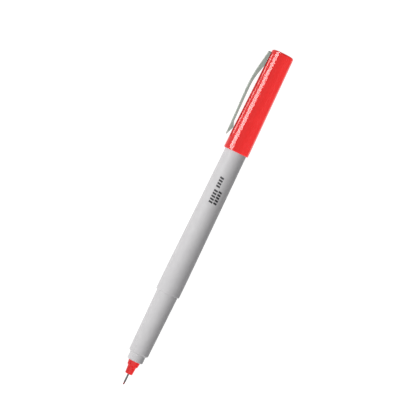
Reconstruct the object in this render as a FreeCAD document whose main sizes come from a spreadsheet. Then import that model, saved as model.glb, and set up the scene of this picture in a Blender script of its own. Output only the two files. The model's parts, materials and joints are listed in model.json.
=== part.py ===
import FreeCAD, Part
import Sketcher
import math
import os
import re

# A needle-tip felt marker with its cap pushed onto the back of the barrel.
#
# Each piece is drawn in the pen's own frame: X runs along the axis from the nib's tip to the
# crown of the cap, Y points out to the clip, and every "_at" size is a distance from the tip.
# One placement then lays the whole pen on a table: nib towards -X, the axis level, resting on
# the mouth of the cap and on one edge of the clip.

# All in mm.
SIZES = {
    # nib: a fine fibre rod
    "nib_radius": 0.29,
    "nib_tail_at": 15.0,
    "nib_tip_round": 0.24,
    # tip sleeve: the steel tube around the nib
    "sleeve_front_at": 1.1,
    "sleeve_tail_at": 10.8,
    "sleeve_radius": 0.38,
    "sleeve_edge_round": 0.05,
    # nose cone: the coloured holder of the sleeve
    "nose_front_at": 4.8,
    "nose_front_radius": 1.59,
    "nose_front_round": 0.4,
    "nose_neck_at": 8.05,
    "nose_neck_radius": 1.81,
    "nose_shoulder_at": 8.65,
    "nose_shoulder_radius": 2.33,
    "nose_shoulder_round": 0.25,
    "nose_base_radius": 2.57,
    "nose_tail_radius": 2.3,
    "nose_tail_at": 20.5,
    "nose_tail_chamfer": 0.4,
    "nib_passage_radius": 0.33,
    "vent_width": 0.6,
    "vent_depth": 0.2,
    "vent_front_at": 11.4,
    # relay wick: the fibre plug that carries ink from the reservoir to the nib
    "wick_front_at": 12.0,
    "wick_tail_at": 32.0,
    "wick_radius": 1.0,
    "wick_chamfer": 0.3,
    # front section: collar, grip and the spigot that plugs into the barrel
    "collar_front_at": 10.65,
    "collar_radius": 3.42,
    "collar_round": 0.4,
    "collar_back_at": 13.75,
    "grip_front_at": 14.4,
    "grip_front_radius": 4.27,
    "grip_front_round": 0.25,
    "step_at": 41.6,
    "grip_back_radius": 4.635,
    "spigot_radius": 4.0,
    "spigot_tail_at": 52.0,
    "spigot_chamfer": 0.3,
    "bead_at": 46.0,
    "bead_width": 1.2,
    "bead_height": 0.12,
    "nose_socket_back_at": 21.0,
    "front_bore_at": 23.0,
    "front_bore_radius": 3.35,
    # rear barrel
    "land_radius": 5.21,
    "lip_round": 0.42,
    "land_back_at": 49.0,
    "posting_at": 109.0,
    "taper_back_radius": 4.705,
    "posting_round": 0.3,
    "posting_radius": 4.15,
    "barrel_tail_at": 132.2,
    "barrel_tail_radius": 4.1,
    "tail_bore_radius": 3.3,
    "bore_narrows_at": 103.5,
    "tail_bore_at": 107.0,
    "rib_front_at": 54.0,
    "rib_back_at": 102.0,
    "rib_width": 0.6,
    "rib_root": 0.05,
    # ink reservoir and the film around it
    "reservoir_radius": 3.15,
    "film_radius": 3.25,
    "reservoir_front_at": 23.6,
    "reservoir_tail_at": 125.6,
    "reservoir_round": 0.3,
    "film_margin": 0.8,
    # end plug
    "plug_front_at": 126.0,
    "plug_bore_radius": 2.5,
    "plug_chamfer": 0.3,
    "plug_tail_at": 133.5,
    "plug_round": 0.5,
    "plug_floor": 1.6,
    "vent_radius": 0.4,
    # cap
    "cap_mouth_at": 106.2,
    "cap_length": 45.0,
    "cap_mouth_radius": 5.5,
    "cap_mouth_round": 0.45,
    "cap_crown_radius": 4.78,
    "cap_crown_round": 0.8,
    "cap_wall": 0.72,
    "cap_lead_in": 0.12,
    "crown_wall": 1.1,
    "liner_seat_at": 134.0,
    "liner_seat_radius": 4.25,
    # cap liner: the inner cap that seals on the collar
    "liner_mouth_at": 134.2,
    "liner_flange": 1.8,
    "liner_flange_gap": 0.05,
    "liner_lead_in": 0.25,
    "liner_seal_gap": 0.03,
    "liner_seal_back_at": 138.2,
    "liner_bore_radius": 3.2,
    "liner_wall": 0.7,
    "liner_narrows_at": 144.6,
    "liner_neck_at": 146.4,
    "liner_neck_bore": 2.5,
    "liner_floor_at": 148.9,
    "liner_end_at": 149.9,
    "liner_end_round": 0.8,
    # clip: a stamped steel channel, open towards the cap
    "clip_width": 3.2,
    "clip_sheet": 0.4,
    "clip_edge_round": 0.3,
    "clip_top_at": 149.76,
    "clip_top_out": 5.93,
    "clip_top_round": 0.4,
    "clip_crest_at": 136.9,
    "clip_crest_out": 7.98,
    "clip_crest_bend": 60.0,
    "clip_heel_at": 113.3,
    "clip_heel_out": 7.13,
    "clip_heel_bend": 6.0,
    "clip_tip_at": 111.45,
    "clip_tip_out": 7.21,
    "ear_at": 115.15,
    "ear_round": 0.25,
    "ear_back_at": 117.4,
    "ear_back_out": 6.22,
    "ear_back_bend": 1.5,
    "flange_bend_at": 136.45,
    "flange_bend_out": 6.67,
    "flange_bend": 29.0,
    "flange_leaves_at": 143.6,
    "clip_gap": 0.03,
    "tongue_width": 1.8,
    "tongue_in": 3.6,
    "tongue_foot": 1.86,
    "slot_gap": 0.05,
    # resting: how far the rounded crest of the clip lies inside the corner of its two runs
    "crest_drop": 0.19,
}

VENTS = 4
RIBS = 6

doc = FreeCAD.newDocument("felt_marker")
sheet = doc.addObject("Spreadsheet::Sheet", "Sizes")
for row, (alias, value) in enumerate(SIZES.items(), start=1):
    sheet.set(f"A{row}", alias)
    sheet.set(f"B{row}", str(value))
    sheet.setAlias(f"B{row}", alias)
doc.recompute()


def on_sheet(formula):
    """Writes a formula of size names as an expression that reads the sheet's cells."""

    def cell(word):
        name = word.group()
        return f"Sizes.{name}" if name in SIZES else name

    return re.sub(r"[a-z][a-z_]*", cell, formula)


def size(formula):
    """Works out a formula of size names, in mm."""
    return float(sheet.evalExpression(on_sheet(formula)))


def origin_feature(body, role):
    """Finds one of a body's own origin planes or axes."""
    return next(item for item in body.Origin.OriginFeatures if item.Role == role)


def hold_point(sketch, geometry, end, along, out):
    """Fixes a point of a sketch at the two formulas."""
    for kind, axis, formula in (("DistanceX", -2, along), ("DistanceY", -1, out)):
        if formula == "0":
            sketch.addConstraint(Sketcher.Constraint("PointOnObject", geometry, end, axis))
        else:
            held = Sketcher.Constraint(kind, -1, 1, geometry, end, size(formula))
            index = sketch.addConstraint(held)
            sketch.setExpression(f"Constraints[{index}]", on_sheet(formula))


def rounding(before, corner, after, radius):
    """Finds where an arc of the radius leaves one side, meets the next, and its centre."""
    back = (before - corner).normalize()
    ahead = (after - corner).normalize()
    half_angle = back.getAngle(ahead) / 2
    reach = radius / math.tan(half_angle)
    centre = corner + (back + ahead).normalize() * (radius / math.sin(half_angle))
    return corner + back * reach, corner + ahead * reach, centre


def add_arc(sketch, start, finish, centre, radius):
    """Adds the shorter arc between two points and says which of its ends is the start."""
    first = math.atan2(start.y - centre.y, start.x - centre.x)
    last = math.atan2(finish.y - centre.y, finish.x - centre.x)
    forward = (last - first) % (2 * math.pi) < math.pi
    if not forward:
        first, last = last, first
    circle = Part.Circle(centre, FreeCAD.Vector(0, 0, 1), radius)
    arc = sketch.addGeometry(Part.ArcOfCircle(circle, first, last))
    return (arc, 1, 2) if forward else (arc, 2, 1)


def outline(body, name, corners):
    """Draws a closed outline on a body's XY plane.

    Each corner is (along, out) or (along, out, rounding radius), in formulas of size names.
    """
    sketch = body.newObject("Sketcher::SketchObject", name)
    sketch.AttachmentSupport = [(origin_feature(body, "XY_Plane"), "")]
    sketch.MapMode = "FlatFace"
    points = [FreeCAD.Vector(size(corner[0]), size(corner[1]), 0) for corner in corners]
    count = len(corners)
    arrives = list(points)
    leaves = list(points)
    centres = {}
    for i, corner in enumerate(corners):
        if len(corner) == 3:
            after = points[(i + 1) % count]
            arrives[i], leaves[i], centres[i] = rounding(points[i - 1], points[i], after, size(corner[2]))
    ends = zip(leaves, arrives[1:] + arrives[:1])
    sides = [sketch.addGeometry(Part.LineSegment(start, finish)) for start, finish in ends]
    for i, corner in enumerate(corners):
        if i not in centres:
            sketch.addConstraint(Sketcher.Constraint("Coincident", sides[i - 1], 2, sides[i], 1))
            hold_point(sketch, sides[i], 1, corner[0], corner[1])
            continue
        arc, start, finish = add_arc(sketch, arrives[i], leaves[i], centres[i], size(corner[2]))
        mark = sketch.addGeometry(Part.Point(points[i]), True)
        sketch.addConstraint(Sketcher.Constraint("Tangent", sides[i - 1], 2, arc, start))
        sketch.addConstraint(Sketcher.Constraint("Tangent", arc, finish, sides[i], 1))
        sketch.addConstraint(Sketcher.Constraint("PointOnObject", mark, 1, sides[i - 1]))
        sketch.addConstraint(Sketcher.Constraint("PointOnObject", mark, 1, sides[i]))
        index = sketch.addConstraint(Sketcher.Constraint("Radius", arc, size(corner[2])))
        sketch.setExpression(f"Constraints[{index}]", on_sheet(corner[2]))
        hold_point(sketch, mark, 1, corner[0], corner[1])
    return sketch


def new_body(name):
    body = doc.addObject("PartDesign::Body", name)
    body.Label = name
    return body


def turned(name, corners):
    """Makes a round piece by turning an outline about the pen's axis."""
    body = new_body(name)
    profile = outline(body, f"{name}_outline", corners)
    revolution = body.newObject("PartDesign::Revolution", f"{name}_turned")
    revolution.Profile = profile
    revolution.ReferenceAxis = (origin_feature(body, "X_Axis"), [""])
    revolution.Angle = 360
    profile.Visibility = False
    doc.recompute()
    return body


def extruded(body, kind, name, width, corners):
    """Pads or pockets an outline by half the width to each side of the XY plane."""
    before = body.Shape.Volume if body.Tip else 0
    feature = body.newObject(f"PartDesign::{kind}", name)
    feature.Profile = outline(body, f"{name}_outline", corners)
    feature.SideType = "Symmetric"
    feature.setExpression("Length", on_sheet(width))
    doc.recompute()
    change = body.Shape.Volume - before
    if (kind == "Pad") != (change > 0):
        raise RuntimeError(f"{name} changed the volume by {change} mm3")
    return feature


def repeated(body, name, feature, count):
    """Repeats a feature evenly around the pen's axis."""
    before = body.Shape.Volume
    pattern = body.newObject("PartDesign::PolarPattern", name)
    pattern.Originals = [feature]
    pattern.Axis = (origin_feature(body, "X_Axis"), [""])
    pattern.Angle = 360
    pattern.Occurrences = count
    body.Tip = pattern
    doc.recompute()
    if abs(body.Shape.Volume - before) < 1e-3:
        raise RuntimeError(f"{name} repeated nothing")


def make_nib():
    return turned("nib", [
        ("0", "0"),
        ("0", "nib_radius", "nib_tip_round"),
        ("nib_tail_at", "nib_radius"),
        ("nib_tail_at", "0"),
    ])


def make_tip_sleeve():
    return turned("tip_sleeve", [
        ("sleeve_front_at", "nib_radius"),
        ("sleeve_front_at", "sleeve_radius", "sleeve_edge_round"),
        ("sleeve_tail_at", "sleeve_radius"),
        ("sleeve_tail_at", "nib_radius"),
    ])


def make_nose_cone():
    """The coloured nose, its stepped bore and the air grooves along its tail."""
    body = turned("nose_cone", [
        ("nose_front_at", "sleeve_radius"),
        ("nose_front_at", "nose_front_radius", "nose_front_round"),
        ("nose_neck_at", "nose_neck_radius"),
        ("nose_shoulder_at", "nose_shoulder_radius", "nose_shoulder_round"),
        ("collar_front_at", "nose_base_radius"),
        ("collar_front_at", "nose_tail_radius"),
        ("nose_tail_at - nose_tail_chamfer", "nose_tail_radius"),
        ("nose_tail_at", "nose_tail_radius - nose_tail_chamfer"),
        ("nose_tail_at", "wick_radius"),
        ("wick_front_at", "wick_radius"),
        ("wick_front_at", "nib_passage_radius"),
        ("sleeve_tail_at", "nib_passage_radius"),
        ("sleeve_tail_at", "sleeve_radius"),
    ])
    vent = extruded(body, "Pocket", "nose_vent", "vent_width", [
        ("vent_front_at", "nose_tail_radius - vent_depth"),
        ("vent_front_at", "nose_tail_radius + vent_depth"),
        ("nose_tail_at + vent_depth", "nose_tail_radius + vent_depth"),
        ("nose_tail_at + vent_depth", "nose_tail_radius - vent_depth"),
    ])
    repeated(body, "nose_vents", vent, VENTS)
    return body


def make_relay_wick():
    return turned("relay_wick", [
        ("wick_front_at", "nib_radius"),
        ("wick_front_at", "wick_radius - wick_chamfer"),
        ("wick_front_at + wick_chamfer", "wick_radius"),
        ("wick_tail_at", "wick_radius"),
        ("wick_tail_at", "0"),
        ("nib_tail_at", "0"),
        ("nib_tail_at", "nib_radius"),
    ])


def make_front_section():
    """The grip with its sealing collar in front and a beaded spigot behind."""
    return turned("front_section", [
        ("collar_front_at", "nose_tail_radius"),
        ("collar_front_at", "collar_radius", "collar_round"),
        ("collar_back_at", "collar_radius"),
        ("grip_front_at", "grip_front_radius", "grip_front_round"),
        ("step_at", "grip_back_radius"),
        ("step_at", "spigot_radius"),
        ("bead_at", "spigot_radius"),
        ("bead_at + bead_width / 4", "spigot_radius + bead_height"),
        ("bead_at + bead_width * 3 / 4", "spigot_radius + bead_height"),
        ("bead_at + bead_width", "spigot_radius"),
        ("spigot_tail_at - spigot_chamfer", "spigot_radius"),
        ("spigot_tail_at", "spigot_radius - spigot_chamfer"),
        ("spigot_tail_at", "front_bore_radius"),
        ("front_bore_at", "front_bore_radius"),
        ("nose_socket_back_at", "nose_tail_radius"),
    ])


def make_rear_barrel():
    """The long tapered shell, with a groove for the spigot's bead and ribs that centre the reservoir."""
    body = turned("rear_barrel", [
        ("step_at", "spigot_radius"),
        ("step_at", "land_radius", "lip_round"),
        ("land_back_at", "land_radius"),
        ("posting_at", "taper_back_radius", "posting_round"),
        ("posting_at + taper_back_radius - posting_radius", "posting_radius"),
        ("barrel_tail_at", "barrel_tail_radius"),
        ("barrel_tail_at", "tail_bore_radius"),
        ("tail_bore_at", "tail_bore_radius"),
        ("bore_narrows_at", "spigot_radius"),
        ("bead_at + bead_width", "spigot_radius"),
        ("bead_at + bead_width * 3 / 4", "spigot_radius + bead_height"),
        ("bead_at + bead_width / 4", "spigot_radius + bead_height"),
        ("bead_at", "spigot_radius"),
    ])
    rib = extruded(body, "Pad", "barrel_rib", "rib_width", [
        ("rib_front_at", "tail_bore_radius"),
        ("rib_back_at", "tail_bore_radius"),
        ("rib_back_at", "spigot_radius + rib_root"),
        ("rib_front_at", "spigot_radius + rib_root"),
    ])
    repeated(body, "barrel_ribs", rib, RIBS)
    return body


def make_ink_reservoir():
    """The bonded-fibre core that holds the ink, with the wick pushed into its front."""
    return turned("ink_reservoir", [
        ("reservoir_front_at", "wick_radius"),
        ("reservoir_front_at", "reservoir_radius", "reservoir_round"),
        ("reservoir_tail_at", "reservoir_radius", "reservoir_round"),
        ("reservoir_tail_at", "0"),
        ("wick_tail_at", "0"),
        ("wick_tail_at", "wick_radius"),
    ])


def make_reservoir_film():
    return turned("reservoir_film", [
        ("reservoir_front_at + film_margin", "reservoir_radius"),
        ("reservoir_front_at + film_margin", "film_radius"),
        ("reservoir_tail_at - film_margin", "film_radius"),
        ("reservoir_tail_at - film_margin", "reservoir_radius"),
    ])


def make_end_plug():
    """The vented cup that closes the back of the barrel."""
    return turned("end_plug", [
        ("plug_front_at", "plug_bore_radius"),
        ("plug_front_at", "tail_bore_radius - plug_chamfer"),
        ("plug_front_at + plug_chamfer", "tail_bore_radius"),
        ("barrel_tail_at", "tail_bore_radius"),
        ("barrel_tail_at", "barrel_tail_radius"),
        ("plug_tail_at", "barrel_tail_radius", "plug_round"),
        ("plug_tail_at", "vent_radius"),
        ("plug_tail_at - plug_floor", "vent_radius"),
        ("plug_tail_at - plug_floor", "plug_bore_radius"),
    ])


def cap_radius(at):
    """The formula for the cap's outer radius at a distance from the nib's tip."""
    taper = "(cap_mouth_radius - cap_crown_radius) / cap_length"
    return f"cap_mouth_radius - {taper} * ({at} - cap_mouth_at)"


def make_cap_shell():
    """The tapered outer cap, its seat for the liner and the slot for the clip's tongue."""
    crown = "cap_mouth_at + cap_length"
    body = turned("cap_shell", [
        ("cap_mouth_at", "cap_mouth_radius - cap_wall + cap_lead_in"),
        ("cap_mouth_at", "cap_mouth_radius", "cap_mouth_round"),
        (crown, "cap_crown_radius", "cap_crown_round"),
        (crown, "0"),
        (f"{crown} - crown_wall", "0"),
        (f"{crown} - crown_wall", "liner_seat_radius"),
        ("liner_seat_at", "liner_seat_radius"),
        ("liner_seat_at", f"{cap_radius('liner_seat_at')} - cap_wall"),
        ("cap_mouth_at + cap_lead_in", f"{cap_radius('(cap_mouth_at + cap_lead_in)')} - cap_wall"),
    ])
    extruded(body, "Pocket", "clip_slot", "tongue_width + 2 * slot_gap", [
        ("clip_top_at - clip_sheet - slot_gap", "tongue_in"),
        ("clip_top_at - clip_sheet - slot_gap", "clip_top_out"),
        ("clip_top_at + slot_gap", "clip_top_out"),
        ("clip_top_at + slot_gap", "tongue_in"),
    ])
    return body


def make_cap_liner():
    """The inner cap: a flange centres it in the shell and its mouth seals on the collar."""
    seal = "collar_radius + liner_seal_gap"
    flange = "liner_seat_radius - liner_flange_gap"
    wall = "liner_bore_radius + liner_wall"
    return turned("cap_liner", [
        ("liner_mouth_at", f"{seal} + liner_lead_in"),
        ("liner_mouth_at", flange),
        ("liner_mouth_at + liner_flange", flange),
        ("liner_mouth_at + liner_flange", wall),
        ("liner_narrows_at", wall),
        ("liner_neck_at", "liner_neck_bore + liner_wall"),
        ("liner_end_at", "liner_neck_bore + liner_wall", "liner_end_round"),
        ("liner_end_at", "0"),
        ("liner_floor_at", "0"),
        ("liner_floor_at", "liner_neck_bore", "liner_end_round"),
        ("liner_neck_at", "liner_neck_bore"),
        ("liner_narrows_at", "liner_bore_radius"),
        ("liner_seal_back_at + liner_lead_in", "liner_bore_radius"),
        ("liner_seal_back_at", seal),
        ("liner_mouth_at + liner_lead_in", seal),
    ])


def faces_out(shape, edge):
    """Says whether an edge of the strip lies along its outer face."""
    middle = edge.valueAt((edge.FirstParameter + edge.LastParameter) / 2)
    inward = FreeCAD.Vector(0, 0, -math.copysign(0.1, middle.z))
    step = FreeCAD.Vector(0.1, 0.1, 0)
    level = abs(edge.Vertexes[0].Z - edge.Vertexes[-1].Z) < 1e-6
    outer = not shape.isInside(middle + inward + step, 1e-6, True)
    inner = shape.isInside(middle + inward - step, 1e-6, True)
    return level and outer and inner


def make_clip():
    """The sprung clip: a channel whose flanges end in two ears, and a tongue that hooks into the cap."""
    body = new_body("clip")
    root_out = f"{cap_radius('clip_top_at')} + clip_gap"
    strip = extruded(body, "Pad", "clip_strip", "clip_width", [
        ("clip_top_at", root_out),
        ("clip_top_at", "clip_top_out", "clip_top_round"),
        ("clip_crest_at", "clip_crest_out", "clip_crest_bend"),
        ("clip_heel_at", "clip_heel_out", "clip_heel_bend"),
        ("clip_tip_at", "clip_tip_out"),
        ("clip_tip_at", "clip_tip_out - clip_sheet"),
        ("ear_at", f"{cap_radius('ear_at')} + clip_gap", "ear_round"),
        ("ear_back_at", "ear_back_out", "ear_back_bend"),
        ("flange_bend_at", "flange_bend_out", "flange_bend"),
        ("flange_leaves_at", f"{cap_radius('flange_leaves_at')} + clip_gap"),
    ])
    shape = strip.Shape
    rim = [f"Edge{i}" for i, edge in enumerate(shape.Edges, start=1) if faces_out(shape, edge)]
    fillet = body.newObject("PartDesign::Fillet", "clip_rounded")
    fillet.Base = (strip, rim)
    fillet.UseAllEdges = False
    fillet.setExpression("Radius", on_sheet("clip_edge_round"))
    doc.recompute()
    extruded(body, "Pocket", "clip_channel", "clip_width - 2 * clip_sheet", [
        ("clip_top_at - clip_sheet", "tongue_in"),
        ("clip_top_at - clip_sheet", "clip_top_out - clip_sheet"),
        ("clip_crest_at", "clip_crest_out - clip_sheet", "clip_crest_bend - clip_sheet"),
        ("clip_heel_at", "clip_heel_out - clip_sheet", "clip_heel_bend"),
        ("clip_tip_at - clip_sheet", "clip_tip_out - clip_sheet"),
        ("clip_tip_at - clip_sheet", "tongue_in"),
    ])
    extruded(body, "Pad", "clip_tongue", "tongue_width", [
        ("clip_top_at", f"{root_out} + clip_sheet"),
        ("clip_top_at", "tongue_in", "clip_sheet"),
        ("clip_top_at - tongue_foot", "tongue_in"),
        ("clip_top_at - tongue_foot", "tongue_in + clip_sheet"),
        ("clip_top_at - clip_sheet", "tongue_in + clip_sheet"),
        ("clip_top_at - clip_sheet", f"{root_out} + clip_sheet"),
    ])
    return body


def resting_placement():
    """Lays the pen down: it rolls until the clip's lower edge meets the table."""
    reach = size("clip_crest_out - crest_drop - clip_edge_round")
    half_width = size("clip_width / 2 - clip_edge_round")
    height = size("cap_mouth_radius")
    corner = math.hypot(reach, half_width)
    drop = math.asin((height - size("clip_edge_round")) / corner) - math.atan2(half_width, reach)
    clip_side = reach * math.cos(drop) + half_width * math.sin(drop) + size("clip_edge_round")
    middle = FreeCAD.Vector(-size("cap_mouth_at + cap_length") / 2, (height - clip_side) / 2, height)
    return FreeCAD.Placement(middle, FreeCAD.Rotation(FreeCAD.Vector(1, 0, 0), -math.degrees(drop)))


pieces = [
    make_nib(),
    make_tip_sleeve(),
    make_nose_cone(),
    make_relay_wick(),
    make_front_section(),
    make_rear_barrel(),
    make_ink_reservoir(),
    make_reservoir_film(),
    make_end_plug(),
    make_cap_shell(),
    make_cap_liner(),
    make_clip(),
]
placement = resting_placement()
for piece in pieces:
    piece.Placement = placement
doc.recompute()

for item in doc.Objects:
    if "Invalid" in item.State or "Error" in item.State:
        raise RuntimeError(f"{item.Name} failed: {item.State}")
for sketch in doc.findObjects("Sketcher::SketchObject"):
    if not sketch.FullyConstrained:
        raise RuntimeError(f"{sketch.Name} isn't fully constrained")
for piece in pieces:
    if piece.Shape.isNull() or not piece.Shape.isValid() or len(piece.Shape.Solids) != 1:
        raise RuntimeError(f"{piece.Label} isn't one valid solid")

os.makedirs("parts", exist_ok=True)
for piece in pieces:
    piece.Shape.exportStep(f"parts/{piece.Label}.step")
    print(f"{piece.Label}: {piece.Shape.Volume:.2f} mm3")
print(f"the clip hangs {math.degrees(placement.Rotation.Angle):.2f} degrees below level")
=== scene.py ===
import json
import math

import bmesh
import bpy
from mathutils import Matrix, Vector


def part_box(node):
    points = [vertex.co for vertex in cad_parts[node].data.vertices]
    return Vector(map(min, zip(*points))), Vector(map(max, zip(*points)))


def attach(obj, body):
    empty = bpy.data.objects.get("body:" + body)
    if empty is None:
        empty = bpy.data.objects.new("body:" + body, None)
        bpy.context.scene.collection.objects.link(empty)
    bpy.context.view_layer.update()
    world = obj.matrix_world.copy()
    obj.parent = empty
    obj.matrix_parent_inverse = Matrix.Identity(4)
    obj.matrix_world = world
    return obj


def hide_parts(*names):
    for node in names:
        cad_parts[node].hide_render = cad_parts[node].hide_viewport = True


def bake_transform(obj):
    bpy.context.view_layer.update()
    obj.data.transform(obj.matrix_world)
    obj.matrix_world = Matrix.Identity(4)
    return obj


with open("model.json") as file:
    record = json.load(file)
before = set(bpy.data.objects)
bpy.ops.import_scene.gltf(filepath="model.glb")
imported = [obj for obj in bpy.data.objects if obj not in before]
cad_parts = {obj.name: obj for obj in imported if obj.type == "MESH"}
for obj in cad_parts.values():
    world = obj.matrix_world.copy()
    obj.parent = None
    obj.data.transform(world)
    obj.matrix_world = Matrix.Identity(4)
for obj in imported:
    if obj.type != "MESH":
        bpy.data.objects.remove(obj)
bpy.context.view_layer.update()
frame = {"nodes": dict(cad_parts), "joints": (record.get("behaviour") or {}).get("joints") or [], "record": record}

MM = 0.001

# ---------------------------------------------------------------------------
# The pen's own directions, read from the frame
# ---------------------------------------------------------------------------

ALONG = Vector((1, 0, 0))
FLEX = next(joint for joint in frame["joints"] if joint["name"] == "clip_flex")
CLIP_OUT = ALONG.cross(Vector(FLEX["axis"])).normalized()
SIDE = ALONG.cross(CLIP_OUT)
VIEW_BACK = SIDE if SIDE.z > 0 else -SIDE

nib_low, nib_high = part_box("nib")
barrel_low, barrel_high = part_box("rear_barrel")
cap_low, cap_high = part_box("cap_shell")
clip_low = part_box("clip")[0]
AXIS_START = Vector((nib_low.x, (nib_low.y + nib_high.y) / 2, (nib_low.z + nib_high.z) / 2))
BARREL_RADIUS = (barrel_high.y - barrel_low.y) / 2
PEN_LENGTH = cap_high.x - nib_low.x
PEN_MIDDLE = AXIS_START + ALONG * (PEN_LENGTH / 2)


def pen(along, out=0.0):
    """A place on the pen: along from the nib's tip, and out towards the clip."""
    return AXIS_START + ALONG * along + CLIP_OUT * out


# ---------------------------------------------------------------------------
# Node helpers
# ---------------------------------------------------------------------------


def new_material(name):
    material = bpy.data.materials.new(name)
    material.use_nodes = True
    tree = material.node_tree
    return material, tree, tree.nodes["Principled BSDF"]


def add_node(tree, kind, **settings):
    node = tree.nodes.new(kind)
    for key, value in settings.items():
        if key in node.inputs:
            node.inputs[key].default_value = value
        else:
            setattr(node, key, value)
    return node


def stretched_coordinates(tree, stretch):
    """Object coordinates multiplied along X, Y and Z, for grain that runs one way."""
    coordinates = add_node(tree, "ShaderNodeTexCoord")
    mapping = add_node(tree, "ShaderNodeMapping", Scale=stretch)
    tree.links.new(coordinates.outputs["Object"], mapping.inputs["Vector"])
    return mapping.outputs["Vector"]


def noise(tree, vector, scale, detail=4.0, roughness=0.55):
    node = add_node(tree, "ShaderNodeTexNoise", Scale=scale, Detail=detail, Roughness=roughness)
    tree.links.new(vector, node.inputs["Vector"])
    return node.outputs["Fac"]


def remap(tree, value, low, high, start=0.3, end=0.7):
    """Spreads a noise value between two numbers."""
    node = add_node(tree, "ShaderNodeMapRange")
    node.inputs["From Min"].default_value = start
    node.inputs["From Max"].default_value = end
    node.inputs["To Min"].default_value = low
    node.inputs["To Max"].default_value = high
    tree.links.new(value, node.inputs["Value"])
    return node.outputs["Result"]


MIX_FIRST_COLOUR = 6
MIX_SECOND_COLOUR = 7
MIX_RESULT_COLOUR = 2


def mix_colours(tree, factor, first, second):
    node = add_node(tree, "ShaderNodeMix", data_type="RGBA")
    tree.links.new(factor, node.inputs["Factor"])
    node.inputs[MIX_FIRST_COLOUR].default_value = (*first, 1)
    node.inputs[MIX_SECOND_COLOUR].default_value = (*second, 1)
    return node.outputs[MIX_RESULT_COLOUR]


def bump(tree, height, distance, strength, before=None):
    node = add_node(tree, "ShaderNodeBump", Distance=distance, Strength=strength)
    tree.links.new(height, node.inputs["Height"])
    if before is not None:
        tree.links.new(before, node.inputs["Normal"])
    return node.outputs["Normal"]


# ---------------------------------------------------------------------------
# Materials
# ---------------------------------------------------------------------------

# How far the grain is drawn out along the pen: a small number makes long streaks.
EVEN = (1, 1, 1)
SCUFF_GRAIN = (0.06, 1, 1)
STEEL_GRAIN = (0.03, 1, 1)
STRAND_GRAIN = (0.02, 1, 1)
CREASE_GRAIN = (0.2, 1, 1)

# Noise scales, in features to a metre.
PLASTIC_CLOUDS = 260
SINK_MARKS = 190
PEBBLES = 5200
SCUFFS = 5200
STEEL_CLOUDS = 700
HAIR_LINES = 9000
WET_PATCHES = 420
INK_SPECKS = 6000
FILM_CREASES = 900
FLOOR_MOTTLE = 3.0

PEBBLE_DEPTH = 0.02 * MM
SINK_DEPTH = 0.12 * MM
HAIR_LINE_DEPTH = 0.01 * MM
STRAND_DEPTH = 0.04 * MM
CREASE_DEPTH = 0.04 * MM
FILM_ALPHA = 0.6


def moulded_plastic(name, colour, shade, roughness, skin=0.35, specular=0.5, scuffing=0.1):
    """Moulded plastic: cloudy colour, a fine pebbled skin, and faint scuffs that run along the pen."""
    material, tree, shader = new_material(name)
    even = stretched_coordinates(tree, EVEN)
    lengthwise = stretched_coordinates(tree, SCUFF_GRAIN)
    cloud = noise(tree, even, PLASTIC_CLOUDS, detail=3)
    tree.links.new(mix_colours(tree, remap(tree, cloud, 0, 1), colour, shade), shader.inputs["Base Color"])
    scuffs = noise(tree, lengthwise, SCUFFS, detail=5, roughness=0.7)
    spread = remap(tree, scuffs, roughness - scuffing * 0.4, roughness + scuffing * 0.6)
    tree.links.new(spread, shader.inputs["Roughness"])
    pebbles = bump(tree, noise(tree, even, PEBBLES, detail=2), PEBBLE_DEPTH, skin)
    sinks = bump(tree, noise(tree, even, SINK_MARKS, detail=1), SINK_DEPTH, skin * 0.5, before=pebbles)
    tree.links.new(sinks, shader.inputs["Normal"])
    shader.inputs["Specular IOR Level"].default_value = specular
    return material


def spring_steel(name, colour, shade, roughness):
    """Drawn or rolled steel: hair lines along the grain, slightly uneven in tone."""
    material, tree, shader = new_material(name)
    lines = noise(tree, stretched_coordinates(tree, STEEL_GRAIN), HAIR_LINES, detail=4, roughness=0.65)
    cloud = noise(tree, stretched_coordinates(tree, EVEN), STEEL_CLOUDS, detail=3)
    tree.links.new(mix_colours(tree, remap(tree, cloud, 0, 1), colour, shade), shader.inputs["Base Color"])
    tree.links.new(remap(tree, lines, roughness - 0.07, roughness + 0.1), shader.inputs["Roughness"])
    tree.links.new(bump(tree, lines, HAIR_LINE_DEPTH, 0.35), shader.inputs["Normal"])
    shader.inputs["Metallic"].default_value = 1.0
    return material


def ink_fibre(name, colour, shade, strand):
    """Bonded fibre soaked in ink: strands along the pen with darker, wetter patches."""
    material, tree, shader = new_material(name)
    strands = noise(tree, stretched_coordinates(tree, STRAND_GRAIN), strand, detail=3, roughness=0.7)
    patches = noise(tree, stretched_coordinates(tree, EVEN), WET_PATCHES, detail=3)
    mixed = add_node(tree, "ShaderNodeMath", operation="MULTIPLY")
    tree.links.new(strands, mixed.inputs[0])
    tree.links.new(patches, mixed.inputs[1])
    colours = mix_colours(tree, remap(tree, mixed.outputs[0], 0, 1, 0.15, 0.38), shade, colour)
    tree.links.new(colours, shader.inputs["Base Color"])
    tree.links.new(remap(tree, patches, 0.45, 0.8), shader.inputs["Roughness"])
    tree.links.new(bump(tree, strands, STRAND_DEPTH, 0.8), shader.inputs["Normal"])
    return material


def printing_ink(name):
    """Pad-printed black: a thin dull film, worn a little thin in specks."""
    material, tree, shader = new_material(name)
    specks = noise(tree, stretched_coordinates(tree, EVEN), INK_SPECKS, detail=4, roughness=0.7)
    tree.links.new(
        mix_colours(tree, remap(tree, specks, 0, 1, 0.35, 0.75), (0.012, 0.012, 0.014), (0.05, 0.05, 0.055)),
        shader.inputs["Base Color"],
    )
    tree.links.new(remap(tree, specks, 0.35, 0.6), shader.inputs["Roughness"])
    return material


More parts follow.
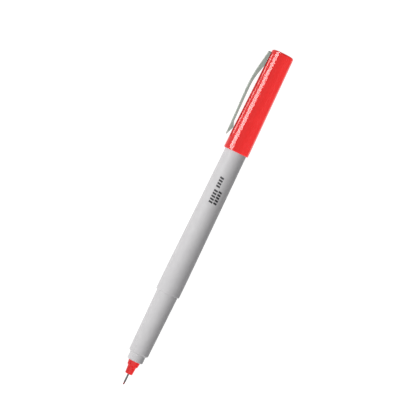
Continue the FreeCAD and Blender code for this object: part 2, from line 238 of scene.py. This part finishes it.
def clear_film(name):
    """The thin clear wrap: nearly colourless, faintly creased."""
    material, tree, shader = new_material(name)
    creases = noise(tree, stretched_coordinates(tree, CREASE_GRAIN), FILM_CREASES, detail=3)
    tree.links.new(
        mix_colours(tree, remap(tree, creases, 0, 1), (0.85, 0.8, 0.8), (0.75, 0.6, 0.6)),
        shader.inputs["Base Color"],
    )
    tree.links.new(remap(tree, creases, 0.12, 0.25), shader.inputs["Roughness"])
    tree.links.new(bump(tree, creases, CREASE_DEPTH, 0.4), shader.inputs["Normal"])
    shader.inputs["Alpha"].default_value = FILM_ALPHA
    return material


MATERIALS = {
    "barrel_plastic": moulded_plastic(
        "barrel_grey", (0.49, 0.482, 0.488), (0.465, 0.457, 0.465), 0.45, skin=0.3, specular=0.38
    ),
    "plug_plastic": moulded_plastic("plug_grey", (0.45, 0.44, 0.44), (0.42, 0.41, 0.415), 0.45),
    "cap_plastic": moulded_plastic(
        "cap_red", (0.81, 0.034, 0.033), (0.78, 0.031, 0.03), 0.14, skin=0.005, specular=0.2, scuffing=0.008
    ),
    "nose_plastic": moulded_plastic(
        "nose_red", (0.69, 0.013, 0.013), (0.65, 0.01, 0.01), 0.3, skin=0.15, specular=0.3, scuffing=0.05
    ),
    "liner_plastic": moulded_plastic("liner_natural", (0.78, 0.78, 0.75), (0.72, 0.72, 0.69), 0.4),
    "clip_steel": spring_steel("clip_satin_steel", (0.265, 0.29, 0.26), (0.24, 0.262, 0.235), 0.4),
    "sleeve_steel": spring_steel("sleeve_drawn_steel", (0.15, 0.15, 0.147), (0.11, 0.11, 0.107), 0.32),
    "nib_fibre": ink_fibre("nib_red_fibre", (0.34, 0.03, 0.025), (0.2, 0.012, 0.012), 16000),
    "ink_fibre": ink_fibre("soaked_red_fibre", (0.66, 0.05, 0.06), (0.40, 0.015, 0.02), 6000),
    "film_plastic": clear_film("reservoir_wrap"),
}
PRINT_INK = printing_ink("print_black")


def paint_nodes():
    """Gives every CAD node the finish of its material slot."""
    for part in frame["record"]["subparts"]:
        node = frame["nodes"][part["node"]]
        for slot in node.material_slots:
            slot.material = MATERIALS[part["material_slot"]]


# ---------------------------------------------------------------------------
# The print on the barrel
# ---------------------------------------------------------------------------

TICKS_START = 82.8 * MM
TICK_PITCH = 1.25 * MM
TICK_WIDTH = 0.82 * MM
TICK_SLANT = 0.25 * MM
UPPER_ROW = {"slots": (0, 1, 2, 3, 4, 5.6, 6.6, 7.6, 8.6), "low": -4.8, "high": 15.7}
LOWER_ROW = {"slots": (0, 1, 2, 3, 4), "low": -27.1, "high": -8.7}
INK_DEPTH = 0.012 * MM
TICK_STEPS = 8


def add_tick(shape, barrel, start, low, high):
    """Adds one slanted bar that follows the barrel's skin between two angles, in degrees."""
    rings = []
    for i in range(TICK_STEPS + 1):
        share = i / TICK_STEPS
        angle = math.radians(low + (high - low) * share)
        outward = CLIP_OUT * math.sin(angle) + VIEW_BACK * math.cos(angle)
        lean = TICK_SLANT * share
        for along in (start + lean, start + lean + TICK_WIDTH):
            middle = pen(along)
            hit, place, _, _ = barrel.ray_cast(middle + outward * BARREL_RADIUS * 2, -outward)
            rings.append([shape.verts.new(place + outward * lift) for lift in (-INK_DEPTH, INK_DEPTH)])
    for i in range(TICK_STEPS):
        near, far, next_near, next_far = rings[2 * i:2 * i + 4]
        shape.faces.new((near[1], next_near[1], next_far[1], far[1]))
        shape.faces.new((near[0], far[0], next_far[0], next_near[0]))
        shape.faces.new((near[0], next_near[0], next_near[1], near[1]))
        shape.faces.new((far[0], far[1], next_far[1], next_far[0]))
    for near, far in (rings[:2], rings[-2:]):
        shape.faces.new((near[0], near[1], far[1], far[0]))


def make_barrel_print():
    """Two rows of plain slanted ticks, printed along the barrel."""
    barrel = frame["nodes"]["rear_barrel"]
    shape = bmesh.new()
    for row in (UPPER_ROW, LOWER_ROW):
        for slot in row["slots"]:
            add_tick(shape, barrel, TICKS_START + slot * TICK_PITCH, row["low"], row["high"])
    bmesh.ops.recalc_face_normals(shape, faces=shape.faces)
    mesh = bpy.data.meshes.new("barrel_print")
    shape.to_mesh(mesh)
    shape.free()
    mesh.materials.append(PRINT_INK)
    piece = bpy.data.objects.new("barrel_print", mesh)
    bpy.context.scene.collection.objects.link(piece)
    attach(piece, "barrel")


# ---------------------------------------------------------------------------
# The clip, cut into short lengths
# ---------------------------------------------------------------------------

SPRING_LENGTH = 13 * MM
SPRING_CUTS = 14
FOLD_ANGLE = math.radians(32)


def make_clip_spring():
    """The clip in its own shape, cut into short lengths between its root and its crest."""
    root = Vector(FLEX["pos_m"])
    mesh = frame["nodes"]["clip"].data.copy()
    mesh.name = "clip_spring"
    if "custom_normal" in mesh.attributes:
        mesh.attributes.remove(mesh.attributes["custom_normal"])
    shape = bmesh.new()
    shape.from_mesh(mesh)
    bmesh.ops.remove_doubles(shape, verts=shape.verts, dist=0.0005 * MM)
    for i in range(SPRING_CUTS + 1):
        place = root - ALONG * (SPRING_LENGTH * i / SPRING_CUTS)
        everything = shape.verts[:] + shape.edges[:] + shape.faces[:]
        bmesh.ops.bisect_plane(shape, geom=everything, plane_co=place, plane_no=ALONG)
    shape.to_mesh(mesh)
    shape.free()
    mesh.shade_smooth()
    mesh.set_sharp_from_angle(angle=FOLD_ANGLE)
    mesh.materials.clear()
    mesh.materials.append(MATERIALS["clip_steel"])
    piece = bpy.data.objects.new("clip_spring", mesh)
    bpy.context.scene.collection.objects.link(piece)
    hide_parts("clip")
    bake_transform(piece)


# ---------------------------------------------------------------------------
# Camera, lights and floor
# ---------------------------------------------------------------------------

LEAN = math.radians(25.84)
LENS_MM = 200
SENSOR_MM = 36
VIEW_WIDTH = 164.8 * MM
AIM_ALONG = 82.1 * MM
AIM_OUT = 4.68 * MM

FILL_TURN = math.radians(75)
UPRIGHT_CARD_LENGTH = 110 * MM
UPRIGHT_CARD_AWAY = 30 * MM
UPRIGHT_CARD_HEIGHT = 17 * MM
FLAT_CARD_AWAY = 8 * MM
FLAT_CARD_WIDTH = 6 * MM
FLAT_CARD_LIFT = 0.3 * MM
FLAT_CARD_MARGIN = 1.5 * MM
UPRIGHT_CARD_SHARE = 0.4
UPRIGHT_CARD_RADIANCE = 27.0
FLAT_CARD_RADIANCE = 9.0

STRIP_PLACE = Vector((0.1, 0.45, 0.08))
STRIP_WIDTH = 0.1
STRIP_HEIGHT = 0.16
STRIP_RADIANCE = 18.2
OVERHEAD_WAY = Vector((-0.5, 0.48, 0.72)).normalized()
OVERHEAD_AWAY = 1.6
OVERHEAD_WIDTH = 3.2
OVERHEAD_HEIGHT = 1.9
OVERHEAD_RADIANCE = 1.78
FILL_AWAY = 1.0
FILL_WIDTH = 1.2
FILL_RADIANCE = 2.15
ROOM_COLOUR = (0.97, 0.98, 1, 1)
ROOM_STRENGTH = 0.11
FLOOR_REACH = 3.0
FLOOR_COLOUR = (0.25, 0.25, 0.25, 1)
FLOOR_GLOW = 0.94

VIEW_RIGHT = math.sin(LEAN) * ALONG - math.cos(LEAN) * CLIP_OUT
VIEW_UP = math.cos(LEAN) * ALONG + math.sin(LEAN) * CLIP_OUT


def make_camera():
    """Looks straight at the pen's side, with the clip edge on at the left."""
    data = bpy.data.cameras.new("camera")
    data.lens = LENS_MM
    data.sensor_width = SENSOR_MM
    distance = VIEW_WIDTH / SENSOR_MM * LENS_MM
    data.clip_start = distance / 100
    data.clip_end = distance * 10
    camera = bpy.data.objects.new("camera", data)
    turn = Matrix((VIEW_RIGHT, VIEW_UP, VIEW_BACK)).transposed().to_4x4()
    camera.matrix_world = Matrix.Translation(pen(AIM_ALONG, AIM_OUT) + VIEW_BACK * distance) @ turn
    bpy.context.scene.collection.objects.link(camera)
    bpy.context.scene.camera = camera


def area_light(name, place, target, width, height, radiance):
    data = bpy.data.lights.new(name, "AREA")
    data.shape = "RECTANGLE"
    data.size = width
    data.size_y = height
    data.energy = radiance * math.pi * width * height
    light = bpy.data.objects.new(name, data)
    light.location = place
    light.rotation_mode = "QUATERNION"
    light.rotation_quaternion = (target - place).to_track_quat("-Z", "Y")
    light.visible_camera = False
    bpy.context.scene.collection.objects.link(light)
    return light


def link_light(light, names, state="INCLUDE"):
    """Lets a light reach only the named nodes, or with EXCLUDE everything but them."""
    receivers = bpy.data.collections.new(light.name + "_receivers")
    for name in names:
        receivers.objects.link(frame["nodes"][name])
    for receiver in receivers.collection_objects:
        receiver.light_linking.link_state = state
    light.light_linking.receiver_collection = receivers


def make_lights():
    """A strip softbox on the table, on the clip's side, and a broad overhead one on the nib's side.

    The strip doesn't reach the cap and the nose. The cap takes the overhead's light without its gloss.
    """
    ahead = STRIP_PLACE - Vector((0, 1, 0))
    softbox = area_light("strip_softbox", STRIP_PLACE, ahead, STRIP_WIDTH, STRIP_HEIGHT, STRIP_RADIANCE)
    link_light(softbox, ["cap_shell", "nose_cone"], "EXCLUDE")
    overhead = PEN_MIDDLE + OVERHEAD_WAY * OVERHEAD_AWAY
    shape = (OVERHEAD_WIDTH, OVERHEAD_HEIGHT, OVERHEAD_RADIANCE)
    glossy = area_light("overhead_softbox", overhead, PEN_MIDDLE, *shape)
    link_light(glossy, ["cap_shell"], "EXCLUDE")
    matt = area_light("overhead_on_cap", overhead, PEN_MIDDLE, *shape)
    matt.visible_glossy = False
    link_light(matt, ["cap_shell"])
    world = bpy.data.worlds.new("room")
    world.use_nodes = True
    background = world.node_tree.nodes["Background"]
    background.inputs["Color"].default_value = ROOM_COLOUR
    background.inputs["Strength"].default_value = ROOM_STRENGTH
    bpy.context.scene.world = world


def make_fill():
    """A soft light on the side away from the clip, which reaches only the cap and the nose."""
    aside = (math.cos(FILL_TURN) * VIEW_BACK - math.sin(FILL_TURN) * CLIP_OUT) * FILL_AWAY
    fill = area_light("fill_softbox", PEN_MIDDLE + aside, PEN_MIDDLE, FILL_WIDTH, FILL_WIDTH, FILL_RADIANCE)
    fill.visible_glossy = False
    link_light(fill, ["cap_shell", "nose_cone"])


def make_glints():
    """Two cards of light beside the cap, one upright and one flat, that show only in its gloss."""
    upright = Vector((
        cap_low.x + UPRIGHT_CARD_LENGTH * UPRIGHT_CARD_SHARE,
        AXIS_START.y + UPRIGHT_CARD_AWAY,
        UPRIGHT_CARD_HEIGHT / 2,
    ))
    flat = Vector(((clip_low.x + cap_high.x) / 2, AXIS_START.y + FLAT_CARD_AWAY, FLAT_CARD_LIFT))
    flat_length = cap_high.x - clip_low.x - FLAT_CARD_MARGIN * 2
    cards = (
        area_light(
            "upright_card", upright, upright - Vector((0, 1, 0)),
            UPRIGHT_CARD_LENGTH, UPRIGHT_CARD_HEIGHT, UPRIGHT_CARD_RADIANCE,
        ),
        area_light(
            "flat_card", flat, flat + Vector((0, 0, 1)),
            flat_length, FLAT_CARD_WIDTH, FLAT_CARD_RADIANCE,
        ),
    )
    for card in cards:
        card.visible_diffuse = False
        link_light(card, ["cap_shell"])


def make_floor():
    """A plain white glowing table."""
    mesh = bpy.data.meshes.new("floor")
    shape = bmesh.new()
    bmesh.ops.create_grid(shape, x_segments=1, y_segments=1, size=FLOOR_REACH)
    shape.to_mesh(mesh)
    shape.free()
    floor = bpy.data.objects.new("floor", mesh)
    material, tree, shader = new_material("white_floor")
    mottle = noise(tree, stretched_coordinates(tree, EVEN), FLOOR_MOTTLE)
    tree.links.new(remap(tree, mottle, 0.85, 0.9), shader.inputs["Roughness"])
    shader.inputs["Base Color"].default_value = FLOOR_COLOUR
    shader.inputs["Specular IOR Level"].default_value = 0.1
    shader.inputs["Emission Color"].default_value = (1, 1, 1, 1)
    shader.inputs["Emission Strength"].default_value = FLOOR_GLOW
    mesh.materials.append(material)
    bpy.context.scene.collection.objects.link(floor)


# ---------------------------------------------------------------------------
# The scene
# ---------------------------------------------------------------------------

bpy.context.scene.view_settings.view_transform = "Standard"
make_camera()
make_lights()
make_fill()
make_glints()
make_floor()
paint_nodes()
make_barrel_print()
make_clip_spring()
